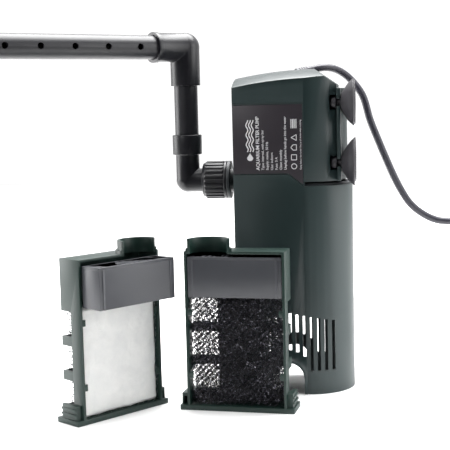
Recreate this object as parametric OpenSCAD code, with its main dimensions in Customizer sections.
// Internal power filter for an aquarium: a pump head on a slotted canister, with
// its outlet train and spray bar, and the two cartridge halves standing beside it.
// Origin: centre of the canister's foot, +Z up, -Y the label side, -X the outlet side.

/* [Casing] */
// Width of the casing along X
body_w = 96; // [88:1:116]
// Depth of the casing along Y, also the diameter of its round end
body_d = 76; // [70:1:92]
// Wall of the canister and the pump cover
wall = 2.4; // [1.8:0.2:3]
// Height of the canister's rim at the round end
rim_low_z = 172.8; // [170:0.2:215]
// How much higher the rim is at the outlet end
rim_step = 10; // [6:1:14]
// Height of the cover's front edge over the low rim, at its highest
head_h = 87.5; // [84:0.5:120]
// Rise of the crown above that edge
crown = 8; // [4:1:12]

/* [Canister openings] */
// Width of the finger arch
arch_w = 27; // [20:1:30]
// Height of the finger arch
arch_h = 26.5; // [20:0.5:32]
// Width of a water slot
slot_w = 2.6; // [2:0.2:3.4]
// Distance between water slots
slot_pitch = 5.9; // [4.5:0.1:6]

/* [Pump] */
// Radius of the rotor magnet
magnet_r = 10.4; // [9:0.2:11]
// Radius of the ceramic shaft
shaft_r = 1.5; // [1.2:0.1:2]
// Radial clearance of turning fits
run_gap = 0.06; // [0.02:0.01:0.1]

/* [Outlet train] */
// Outer radius of the outlet pipes and the riser
pipe_r = 10; // [9:0.5:11]
// Wall of the pipes
pipe_wall = 2; // [1.5:0.25:2.5]
// Distance from the casing's end to the riser's axis
riser_reach = 44; // [42:1:54]
// Height of the spray bar's axis
bar_z = 289; // [284:1:350]
// Outer radius of the spray bar
bar_r = 10; // [9:0.5:10.5]
// Number of spray holes
hole_count = 7; // [4:1:9]
// Distance between spray holes
hole_pitch = 29.8; // [24:0.2:34]
// Radius of a spray hole
hole_r = 2.5; // [1.5:0.1:3]
// Angle of the bar from the outlet direction towards the label side
bar_angle = 43; // [20:1:60]

/* [Suction cups] */
// Radius of a cup's lip
cup_r = 19; // [16:0.5:20]
// Height of the upper pair over the low rim
cup_rise = 67.2; // [64:0.2:70]
// Height between the pairs
cup_pitch = 49; // [42:1:52]
// Distance of each cup from the middle plane
cup_y = 24; // [22:0.5:25]

/* [Cartridge halves] */
// Length of a half
bask_l = 80; // [72:1:80]
// Depth of a half
bask_d = 24; // [20:0.5:24]
// Height of a half without its collar
bask_h = 127; // [120:1:135]
// Wall of a half
bask_wall = 2; // [1.6:0.2:2.4]
// Outer radius of the collar that plugs into the pump
collar_r = 17; // [15:0.5:17]
// How far the left media box is pulled out
media_out = 22; // [12:1:26]
// Height of a media box
media_h = 32; // [28:1:38]

/* [Cord] */
// Diameter of the mains lead
cord_d = 6.4; // [5.6:0.2:7]

/* [Hidden] */
$fn = 64;

shell_green = [0.10, 0.17, 0.15];
pipe_black = [0.05, 0.06, 0.08];
rubber_grey = [0.20, 0.19, 0.21];

round_r = body_d / 2;
end_x = -body_w / 2;                    // flat outlet end
round_x = body_w / 2 - round_r;         // centre of the round end
rim_high_z = rim_low_z + rim_step;
crest_z = rim_low_z + head_h;           // the cover's front edge at its highest
outlet_z = rim_low_z + 4;               // axis of the outlet
step_x0 = -3;                           // the rim slants between these two
step_x1 = 10.3;
arch_x = -6;
label_r = step_x1 - 1;                  // right edge of the label
label_top = crest_z - 20.7;
slot_x = arch_x + 2.2;                  // middle of the row of slots
dome_x = 18;                            // highest point of the cover
dome_r = 330;
slots_each_side = 6;

pump_x = end_x + wall + 21.1;           // axis of the rotor and of the cartridge's collar
plate_z = outlet_z - 18;                // underside of the pump plate
plate_t = 3;
chamber_z = plate_z + plate_t;
can_z = outlet_z + pipe_r + 1;          // top of the volute, where the rotor can sits
chamber_r = 16.5;
chamber_t = 2.2;
can_r = magnet_r + 0.6;
can_h = 49;
skirt_gap = 0.4;
stator_z = can_z + 10;
stator_h = 26;
leg_y = 9.5;
magnet_z = can_z + 3;
magnet_h = can_h - 12;

cover_right = round_x + 20.5;           // end of the cover beside the cups
bracket_x = round_x + 26.5;
bracket_t = 3;
bulge_x = round_x + 33;
bulge_half = 12;

nut_x0 = end_x - 9.3;
nut_l = 20.7;
thread_r = 12;
spigot_end = end_x - 22;
riser_x = end_x - riser_reach;
socket_r = pipe_r + 2.5;
riser_z0 = outlet_z + 25;
mouth_x = 32;                           // from the riser's axis to the bar's mouth
first_hole = mouth_x + 17;
bar_x0 = 20;
bar_end = first_hole + hole_pitch * (hole_count - 1) + 24;

cup_x = bracket_x + bracket_t;
cup_top_z = rim_low_z + cup_rise;

foot_t = 4;
clip_l = 6;
media_z = bask_h - bask_wall - 2.5 - media_h;
media_l = bask_l - 2 * bask_wall - 1;
media_d = bask_d - bask_wall - 1.6;
grille_t = 2;
wool_t = 8.5;
left_at = [-139, -99, 0];
left_turn = 53;
right_at = [-41, -82, 0];
right_turn = -6;

gland_at = [0, 25, crest_z + 5];
boot_tip = [9, 30, crest_z + 7.3];              // end of the strain relief
gland_r = 5.5;
coil_at = [225, 95];
coil_mean = 35;
plug_at = [288.3, 130, 6.5];
// route of the mains lead from the gland, over the cover, past the cups and down to the coil
lead_route = [boot_tip, [14, 32.5, 268.8], [19.5, 35, 269.8], [26, 39, 270.2], [33, 44, 268.8],
    [40, 48, 265], [48, 52, 257.5], [56.5, 55, 245], [62.5, 58, 224], [69, 61, 207], [75, 64, 192],
    [83, 68, 173], [89.5, 71, 160], [98, 74, 147], [110, 78, 137], [122, 81, 131.5], [134, 84, 130],
    [147, 88, 127.5], [159, 93, 120], [168, 99, 107], [174, 106, 89], [178, 113, 68], [183, 120, 46],
    [190, 128, 27], [200, 136, 12], [212, 140.6, 4.4], [224, 140.8, 3.2]];
tail_route = [[251, 133.2, 9.4], [262, 132.6, 7.4], [272, 131, 6.5], [280, 130.2, 6.5], [288, 130, 6.5]];

function unit(v) = v / norm(v);
function tangent(p, i) = unit(p[min(i + 1, len(p) - 1)] - p[max(i - 1, 0)]);

// round tube swept along a route that never runs along Y
module swept(route, r, sides = 10) {
    rings = len(route);
    points = [for (i = [0 : rings - 1])
        let (t = tangent(route, i), u = unit(cross(t, [0, 1, 0])), v = cross(t, u))
        for (k = [0 : sides - 1]) route[i] + r * (cos(360 * k / sides) * u + sin(360 * k / sides) * v)];
    sides_f = [for (i = [0 : rings - 2]) for (k = [0 : sides - 1])
        let (a = i * sides + k, b = i * sides + (k + 1) % sides) [a, b, b + sides, a + sides]];
    near = [[for (k = [0 : sides - 1]) sides - 1 - k]];
    far = [[for (k = [0 : sides - 1]) (rings - 1) * sides + k]];
    polyhedron(points, concat(sides_f, near, far));
}

// plan of the casing: flat at the outlet end and round at the other, drawn in by inset
module bullet(inset) {
    translate([round_x, 0]) circle(round_r - inset, $fn = 128);
    translate([end_x + inset, -round_r + inset])
        square([round_x - end_x - inset, body_d - 2 * inset]);
}

// region under the stepped rim, lifted by rise
module under_rim(rise) {
    rotate([90, 0, 0]) linear_extrude(body_d + 20, center = true)
        polygon([[end_x - 20, -1], [end_x - 20, rim_high_z + rise], [step_x0, rim_high_z + rise],
            [step_x1, rim_low_z + rise], [body_w, rim_low_z + rise], [body_w, -1]]);
}

module tube_x(r, x0, x1) {
    translate([x0, 0, 0]) rotate([0, 90, 0]) cylinder(r = r, h = x1 - x0);
}

module canister() color(shell_green) {
    difference() {
        union() {
            linear_extrude(rim_high_z) bullet(0);
            for (side = [-1, 1]) intersection() {
                translate([arch_x, side * (round_r - 1), 0]) arch_block(arch_w + 5, arch_h + 2.5, 3.8);
                translate([end_x, -round_r - 5, 0]) cube([body_w, body_d + 10, 60]);
            }
        }
        difference() {
            translate([0, 0, -1]) linear_extrude(rim_high_z + 2) bullet(wall);
            // stop that the cartridge's shoulder meets, which also holds the pump plate
            translate([0, 0, plate_z - 3]) linear_extrude(2.6) difference() {
                bullet(wall - 0.5);
                bullet(wall + 1.6);
            }
        }
        difference() {
            translate([end_x - 1, -body_d, 0]) cube([body_w + 2, 2 * body_d, rim_high_z + 1]);
            under_rim(0);
        }
        translate([arch_x, 0, -1]) arch_block(arch_w, arch_h + 1, 2 * body_d);
        for (k = [-slots_each_side : slots_each_side]) water_slot(k);
        // the outlet drops into this notch from above
        translate([end_x - 1, 0, outlet_z]) tube_x(pipe_r + 0.5, 0, wall + 2);
        translate([end_x - 1, -pipe_r - 0.5, outlet_z])
            cube([wall + 2, 2 * pipe_r + 1, rim_high_z - outlet_z + 2]);
    }
}

module arch_block(w, h, depth) {
    rotate([90, 0, 0]) linear_extrude(depth, center = true) {
        translate([-w / 2, 0]) square([w, h - w / 2]);
        translate([0, h - w / 2]) circle(w / 2);
    }
}

// slots over the arch stop short of it, and the outer ones run lower
module water_slot(k) {
    reach = abs(slot_x + k * slot_pitch - arch_x);
    over_arch = reach < arch_w / 2 + 5;
    low = over_arch ? arch_h + 10.5 - pow(reach / 5.2, 2) * 0.75 : 19.5;
    high = 68.5 - reach * 0.19;
    translate([slot_x + k * slot_pitch - slot_w / 2, -body_d, low]) cube([slot_w, 2 * body_d, high - low]);
}

// outline that is mirrored in the X axis, from the points of its half with y below 0
module mirrored_plan(half) {
    last = len(half) - 1;
    polygon(concat(half, [for (i = [last : -1 : 0]) [half[i][0], -half[i][1]]]));
}

// plan of the cover's hollow: it draws in before the cups' knobs
module hollow_plan(inset) {
    flat = round_r - inset;
    neck = cup_y - 8 - inset;
    mirrored_plan([[end_x + inset, -flat], [step_x1, -flat], [27 - inset / 2, -flat + 3.4],
        [cover_right - inset, -flat + 8.6], [cover_right - inset, -neck], [bracket_x - inset, -neck]]);
}

// plan of the pump cover: the casing's plan up to the rim step, then facets towards the cups
module cover_plan() {
    mirrored_plan([[end_x, -round_r], [step_x1, -round_r], [27, -round_r + 3.4],
        [cover_right + 0.5, -cup_y - 6.4], [bracket_x, -cup_y - 3]]);
}

// pocket in the cover's flank that a cup's knob slides into from the side
module knob_pocket(side, z) translate([cover_right + 0.2, side > 0 ? cup_y - 5.4 : -cup_y - 20, z - 6])
    cube([10, 25.4, 12]);

// barrel-shaped top: an arc along X that is crowned across Y
module dome(drop) {
    across = (pow(round_r, 2) + pow(crown, 2)) / (2 * crown);
    translate([dome_x, 0, crest_z - dome_r]) rotate([90, 0, 0])
        rotate_extrude($fn = 240) intersection() {
            translate([dome_r + crown - across - drop, 0]) circle(across, $fn = 180);
            translate([dome_r - 60, -round_r - 5]) square([100, body_d + 10]);
        }
}

module under_dome(inset) intersection() {
    translate([0, 0, 100]) linear_extrude(crest_z) children();
    // the top slopes down over the cups
    rotate([90, 0, 0]) linear_extrude(body_d + 20, center = true)
        polygon([[-200, 90], [-200, crest_z + 160 - 1.2 * inset],
            [120, crest_z - 64 - 1.2 * inset], [120, 90]]);
    union() {
        dome(inset);
        translate([-200, -100, 90]) cube([400, 200, crest_z - 50 - 90]);
    }
}

module head_cover() color(shell_green) difference() {
    under_dome(0) cover_plan();
    under_dome(wall) hollow_plan(wall);
    for (side = [-1, 1]) for (z = [cup_top_z, cup_top_z - cup_pitch]) knob_pocket(side, z);
    under_rim(0.3);
    translate([step_x1, -100, 0]) cube([100, 200, rim_low_z + 3.5]);
    // shallow seat for the label, and the seam line over it
    translate([end_x - 1, -round_r - 1, 0]) cube([label_r - end_x + 1, 1.5, label_top]);
    translate([end_x - 1, -round_r - 1, label_top + 0.6]) cube([label_r - end_x + 1, 1.4, 0.7]);
    translate([gland_at[0], gland_at[1], crest_z - 12]) cylinder(r = gland_r + 0.1, h = 30);
    translate([end_x - 1, 0, outlet_z]) tube_x(pipe_r + 0.5, 0, wall + 2);
    translate([end_x - 1, -pipe_r - 0.5, outlet_z - 30]) cube([wall + 2, 2 * pipe_r + 1, 30]);
}
module label_plate() color([0.13, 0.11, 0.15]) intersection() {
    translate([end_x + 0.4, -round_r, rim_low_z])
        cube([label_r - end_x - 0.6, 0.5, label_top - rim_low_z - 0.3]);
    difference() {
        translate([-200, -200, 0]) cube([400, 400, crest_z]);
        under_rim(0.8);
    }
}

module pump_plate() color([0.12, 0.14, 0.14]) {
    difference() {
        union() {
            translate([0, 0, plate_z]) linear_extrude(plate_t) bullet(wall + skirt_gap);
            translate([0, 0, plate_z]) linear_extrude(rim_low_z + 2 - plate_z) difference() {
                bullet(wall + skirt_gap);
                bullet(wall + skirt_gap + 2);
            }
            translate([pump_x, 0, bask_h + 2]) cylinder(r = collar_r + 2.3, h = plate_z - bask_h - 2 + 1);
        }
        translate([pump_x, 0, bask_h + 1]) cylinder(r = collar_r + 0.3, h = plate_z - bask_h - 1);
        for (k = [0 : 5]) translate([pump_x, 0, plate_z - 1]) rotate(60 * k)
            translate([9.5, 0, 0]) cylinder(r = 3.6, h = plate_t + 2);
        translate([0, 0, plate_z + 4.5]) linear_extrude(2) difference() {
            bullet(wall - 1);
            bullet(wall + skirt_gap + 1.2);
        }
        translate([end_x - 1, 0, outlet_z]) tube_x(pipe_r + 0.3, 0, 12);
        translate([end_x - 1, -pipe_r - 0.3, outlet_z]) cube([12, 2 * pipe_r + 0.6, 30]);
    }
}

// sealing ring in the pump plate's groove
module head_seal() color([0.08, 0.08, 0.08]) translate([0, 0, plate_z + 4.55]) linear_extrude(1.9)
    difference() {
        bullet(wall + 0.1);
        bullet(wall + skirt_gap + 1.2);
    }

module stator_core() color([0.45, 0.45, 0.47]) translate([0, 0, stator_z]) difference() {
    union() {
        translate([pump_x - 19, -18, 0]) cube([38, 36, stator_h]);
        for (side = [-1, 1]) translate([pump_x + 18, side * (leg_y + 4) - 4.5, 0]) cube([34, 9, stator_h]);
        translate([pump_x + 44, -18, 0]) cube([8, 36, stator_h]);
    }
    translate([pump_x, 0, -1]) cylinder(r = can_r + 1.3, h = stator_h + 2);
}

module stator_coils() color([0.62, 0.33, 0.16]) for (side = [-1, 1])
    translate([pump_x + 22, side * (leg_y + 4), stator_z]) difference() {
        translate([0, -9, -4]) cube([20, 18, stator_h + 8]);
        translate([-1, -4.6, -0.1]) cube([22, 9.2, stator_h + 0.2]);
    }

module rotor_can() color([0.15, 0.17, 0.18]) translate([pump_x, 0, can_z]) difference() {
    union() {
        cylinder(r = can_r + 1, h = can_h);
        cylinder(r = chamber_r + chamber_t, h = 2);
    }
    translate([0, 0, -1]) cylinder(r = can_r, h = can_h - 1);
}

module volute() color([0.14, 0.16, 0.17]) difference() {
    union() {
        translate([pump_x, 0, chamber_z]) cylinder(r = chamber_r + chamber_t, h = can_z - chamber_z);
        translate([0, 0, outlet_z]) tube_x(pipe_r, spigot_end, pump_x - chamber_r);
        translate([0, 0, outlet_z]) tube_x(thread_r, spigot_end, nut_x0 - 0.4);
        translate([0, 0, outlet_z]) tube_x(16, nut_x0, nut_x0 + 2.6);
    }
    translate([pump_x, 0, chamber_z - 1]) cylinder(r = chamber_r, h = can_z - chamber_z + 2);
    translate([0, 0, outlet_z]) tube_x(pipe_r - 2.5, spigot_end - 1, pump_x - chamber_r + 2);
}

module outlet_washer() color([0.08, 0.08, 0.08]) translate([0, 0, outlet_z]) difference() {
    tube_x(thread_r - 0.8, spigot_end - 0.75, spigot_end);
    tube_x(pipe_r - 2.3, spigot_end - 2, spigot_end + 1);
}

module ceramic_shaft() color([0.92, 0.92, 0.90]) translate([pump_x, 0, chamber_z + 0.5])
    cylinder(r = shaft_r, h = can_z + can_h - 1.5 - chamber_z - 1);

module bush(z) translate([pump_x, 0, z]) difference() {
    cylinder(r = 3.6, h = 5);
    translate([0, 0, -1]) cylinder(r = shaft_r, h = 7);
}
module bush_lower() color([0.10, 0.10, 0.10]) bush(chamber_z);
module bush_upper() color([0.10, 0.10, 0.10]) bush(can_z + can_h - 7);

module rotor_magnet() color([0.25, 0.25, 0.27]) translate([pump_x, 0, magnet_z]) difference() {
    cylinder(r = magnet_r, h = magnet_h);
    translate([0, 0, -1]) cylinder(r = shaft_r + run_gap, h = magnet_h + 2);
}

module impeller() color([0.85, 0.86, 0.84]) translate([pump_x, 0, 0]) difference() {
    union() {
        translate([0, 0, chamber_z + 6]) cylinder(r = 4.6, h = magnet_z - chamber_z - 6);
        translate([0, 0, can_z - 3]) cylinder(r = chamber_r - 2, h = 1.5);
        for (k = [0 : 5]) rotate(60 * k)
            translate([3.5, -0.7, chamber_z + 7]) cube([chamber_r - 6, 1.4, can_z - 2.5 - chamber_z - 7]);
    }
    translate([0, 0, chamber_z]) cylinder(r = shaft_r + run_gap, h = 60);
}

module suction_bracket() color(shell_green) difference() {
    union() {
        translate([bracket_x, -cup_y - 7, rim_low_z + 3.5])
            cube([bracket_t, 2 * cup_y + 14, crest_z - 8.5 - rim_low_z - 3.5]);
        intersection() {
            translate([bracket_x + 1, -bulge_half, rim_low_z + 3.5])
                cube([bulge_x - bracket_x, 2 * bulge_half, crest_z - 12 - rim_low_z]);
            translate([bulge_x - 14, 0, 0]) cylinder(r = 15, h = crest_z);
        }
    }
    for (side = [-1, 1]) for (z = [cup_top_z, cup_top_z - cup_pitch]) translate([0, side * cup_y, z]) {
        tube_x(3, bracket_x - 1, bracket_x + bracket_t + 1);
        translate([bracket_x - 1, side > 0 ? 0 : -20, -3]) cube([bracket_t + 2, 20, 6]);
    }
}

// knob, neck, hub and a thin concave cup in one revolved piece
module cup(side, z) color(rubber_grey) translate([cup_x, side * cup_y, z]) rotate([0, 90, 0])
    rotate_extrude() polygon([[0, -8.2], [3.4, -8.2], [4.8, -6.6], [4.8, -3.4], [2.9, -3.1],
        [2.9, 0.1], [5, 0.2], [5.4, 1.2], [7.5, 2.2], [cup_r * 0.72, 5.7], [cup_r * 0.93, 8.6],
        [cup_r, 10.6], [cup_r - 0.5, 11.1], [cup_r * 0.87, 9.6], [cup_r * 0.62, 7], [6, 4.6], [0, 3.8]]);
module cup_front_upper() cup(-1, cup_top_z);
module cup_front_lower() cup(-1, cup_top_z - cup_pitch);
module cup_rear_upper() cup(1, cup_top_z);
module cup_rear_lower() cup(1, cup_top_z - cup_pitch);

module cord_gland() color(pipe_black) {
    boot = boot_tip - gland_at;
    translate([gland_at[0], gland_at[1], crest_z - 9])
        cylinder(r = gland_r, h = gland_at[2] - crest_z + 12.4);
    translate(gland_at) rotate([0, acos(boot[2] / norm(boot)), atan2(boot[1], boot[0])])
        cylinder(r1 = 4.4, r2 = 3.6, h = norm(boot));
}

module cord_tube() color(pipe_black) swept(lead_route, cord_d / 2);
module cord_tail() color(pipe_black) swept(tail_route, cord_d / 2);
module cord_coil() color(pipe_black) translate([coil_at[0], coil_at[1], 0])
    rotate_extrude() translate([coil_mean - cord_d, 0]) square([2 * cord_d, 2 * cord_d]);

module plug_body() color(pipe_black) translate(plug_at) {
    tube_x(4.2, 0, 9);
    hull() {
        translate([8, -7, -4.5]) cube([1, 14, 9]);
        translate([16, -12.5, -6.5]) cube([1, 25, 13]);
        translate([33, -12.5, -6.5]) cube([3, 25, 13]);
    }
}
module plug_pins() color([0.75, 0.75, 0.72]) translate(plug_at)
    for (side = [-1, 1]) translate([0, side * 9.5, 0]) tube_x(2, 36, 55);

module union_nut() color(pipe_black) translate([nut_x0 - nut_l - 0.3, 0, outlet_z]) difference() {
    union() {
        tube_x(14.6, 0, 2);
        tube_x(15.2, 1.8, nut_l);
        for (k = [0 : 23]) rotate([15 * k, 0, 0]) translate([2.5, -1.1, 14]) cube([nut_l - 5, 2.2, 2]);
        tube_x(16, nut_l - 2.2, nut_l);
    }
    tube_x(pipe_r + 0.35, -1, nut_l + 1);
    tube_x(thread_r + run_gap, 5.5, nut_l + 1);
}

module lower_elbow() color(pipe_black) translate([riser_x, 0, outlet_z]) {
    flange_x = spigot_end - 0.8 - riser_x;
    difference() {
        union() {
            tube_x(pipe_r, 0, flange_x);
            sphere(pipe_r + 0.15);
            tube_x(thread_r - 0.6, flange_x - 1.8, flange_x);
            tube_x(pipe_r - 2.5 - run_gap, flange_x - 0.1, flange_x + 7);
            cylinder(r = pipe_r, h = riser_z0 - outlet_z);
            translate([0, 0, 22]) cylinder(r = socket_r, h = 16.7);
        }
        tube_x(pipe_r - 4.5, 0, flange_x + 8);
        sphere(pipe_r - 4.3);
        cylinder(r = pipe_r - 4.5, h = 30);
        translate([0, 0, riser_z0 - outlet_z]) cylinder(r = pipe_r + run_gap, h = 30);
    }
}

module riser_pipe() color(pipe_black) translate([riser_x, 0, riser_z0 + 0.2]) difference() {
    cylinder(r = pipe_r, h = bar_z - 17 - riser_z0);
    translate([0, 0, -1]) cylinder(r = pipe_r - pipe_wall, h = bar_z);
}

module bar_frame() translate([riser_x, 0, bar_z]) rotate(bar_angle) children();

module upper_elbow() color(pipe_black) bar_frame() difference() {
    union() {
        translate([0, 0, -32]) cylinder(r = socket_r, h = 32);
        sphere(socket_r + 0.1);
        tube_x(socket_r - 0.3, -mouth_x, 0);
        tube_x(socket_r + 0.2, -mouth_x, -mouth_x + 4);
    }
    translate([0, 0, -33]) cylinder(r = pipe_r + 0.03, h = 33 - 17);
    translate([0, 0, -17]) cylinder(r = pipe_r - 3, h = 17);
    sphere(pipe_r - 2.8);
    tube_x(pipe_r - 3, -bar_x0 - 1, 0);
    tube_x(bar_r + run_gap, -mouth_x - 1, -bar_x0);
}

module spray_bar() color(pipe_black) bar_frame() difference() {
    tube_x(bar_r, -bar_end, -bar_x0 - 0.2);
    tube_x(bar_r - 1.8, -bar_end - 1, -bar_x0 + 1);
    for (k = [0 : hole_count - 1]) translate([-first_hole - k * hole_pitch, 0, 0])
        rotate([90, 0, 0]) cylinder(r = hole_r, h = bar_r + 2);
}

module end_cap() color(pipe_black) bar_frame() difference() {
    tube_x(bar_r + 1.8, -bar_end - 2.2, -bar_end + 12);
    tube_x(bar_r + run_gap, -bar_end - 0.1, -bar_end + 13);
}

// one cartridge half: closed back, open front, mirrored for the other half
module basket() {
    half = bask_l / 2;
    front = -bask_d / 2;
    difference() {
        union() {
            translate([-half, front, 0]) cube([bask_l, bask_d, bask_h]);
            translate([-half - clip_l, front, 0]) cube([bask_l + 2 * clip_l, bask_d + 1.5, foot_t]);
            translate([-half - clip_l + 0.8, front + 3, foot_t - 1]) cube([clip_l, bask_d - 6, 10]);
            translate([half - 1, front + 3, foot_t - 1]) cube([clip_l - 0.4, bask_d - 6, 12]);
            for (z = [7, 11]) translate([half + clip_l - 2, front + 3, z]) cube([1.6, bask_d - 6, 1.6]);
            intersection() {
                translate([-half + 20, front, bask_h - 1]) cylinder(r = collar_r, h = 11);
                translate([-half, front, 0]) cube([bask_l, bask_d, bask_h + 20]);
            }
            intersection() {
                translate([-half + 20, front, bask_h - 1]) cylinder(r = collar_r + 1.5, h = 3.5);
                translate([-half, front, 0]) cube([bask_l, bask_d, bask_h + 20]);
            }
        }
        translate([-half + bask_wall, front - 1, foot_t])
            cube([bask_l - 2 * bask_wall, bask_d - bask_wall + 1, bask_h - bask_wall - foot_t]);
        translate([-half + 20, front, bask_h - 5]) cylinder(r = collar_r - 2, h = 20);
        translate([-half - clip_l + 2.2, front - 1, foot_t]) cube([clip_l - 3.2, bask_d - 6, 6.5]);
        for (k = [0 : 2]) for (side = [-1, 1])
            translate([side * (half - 10) - 11, 0, 13 + 27 * k]) cube([22, bask_d, 19.5]);
    }
    for (side = [-1, 1]) for (z = [26, 76])
        translate([side * (half - bask_wall - 1.5) - 1.6, front + 0.6, z]) cube([3.2, 1.6, 5]);
}

module foam(y0, y1) {
    inner = bask_l / 2 - bask_wall - 0.3;
    translate([-inner, y0, foot_t + 0.2]) cube([2 * inner, y1 - y0, media_z - foot_t - 0.7]);
}

module media_box() translate([-media_l / 2, -bask_d / 2 + 0.8, media_z]) difference() {
    union() {
        cube([media_l, media_d, media_h - grille_t]);
        for (x = [3, media_l - 5]) translate([x, -0.6, 0]) cube([2, 1.6, media_h - grille_t]);
    }
    translate([1.6, 1.6, 1.6]) cube([media_l - 3.2, media_d - 3.2, media_h]);
    for (k = [0 : 14]) translate([4 + k * (media_l - 10) / 14, 3, -1]) cube([2, media_d - 6, 4]);
}
module media_grille() translate([-media_l / 2, -bask_d / 2 + 0.8, media_z + media_h - grille_t])
    difference() {
        cube([media_l, media_d, grille_t]);
        for (k = [0 : 14]) translate([4 + k * (media_l - 10) / 14, 2.4, -1]) cube([2, media_d - 4.8, 4]);
    }
module carbon() translate([-media_l / 2 + 1.9, -bask_d / 2 + 2.7, media_z + 1.9])
    cube([media_l - 3.8, media_d - 3.8, media_h - grille_t - 4]);

module left_half() translate(left_at) rotate(left_turn) mirror([1, 0, 0]) children();
module right_half() translate(right_at) rotate(right_turn) children();
module pulled() translate([0, -media_out, 0]) children();

module left_basket() color(shell_green) left_half() basket();
module left_foam() color([0.07, 0.07, 0.08]) left_half()
    foam(-bask_d / 2 + 3 + wool_t, bask_d / 2 - bask_wall - 0.2);
module wool_pad() color([0.88, 0.89, 0.87]) left_half() foam(-bask_d / 2 + 2.6, -bask_d / 2 + 2.7 + wool_t);
module left_media_box() color([0.25, 0.25, 0.27]) left_half() pulled() media_box();
module left_media_grille() color([0.22, 0.22, 0.24]) left_half() pulled() media_grille();
module left_carbon() color([0.05, 0.05, 0.05]) left_half() pulled() carbon();
module right_basket() color(shell_green) right_half() basket();
module right_foam() color([0.07, 0.07, 0.08]) right_half()
    foam(-bask_d / 2 + 2.8, bask_d / 2 - bask_wall - 0.2);
module right_media_box() color([0.25, 0.25, 0.27]) right_half() media_box();
module right_media_grille() color([0.22, 0.22, 0.24]) right_half() media_grille();
module right_carbon() color([0.05, 0.05, 0.05]) right_half() carbon();

canister();
head_cover();
label_plate();
pump_plate();
head_seal();
stator_core();
stator_coils();
rotor_can();
volute();
outlet_washer();
ceramic_shaft();
bush_lower();
bush_upper();
rotor_magnet();
impeller();
suction_bracket();
cup_front_upper();
cup_front_lower();
cup_rear_upper();
cup_rear_lower();
cord_gland();
cord_tube();
cord_coil();
cord_tail();
plug_body();
plug_pins();
union_nut();
lower_elbow();
riser_pipe();
upper_elbow();
spray_bar();
end_cap();
left_basket();
left_foam();
wool_pad();
left_media_box();
left_media_grille();
left_carbon();
right_basket();
right_foam();
right_media_box();
right_media_grille();
right_carbon();
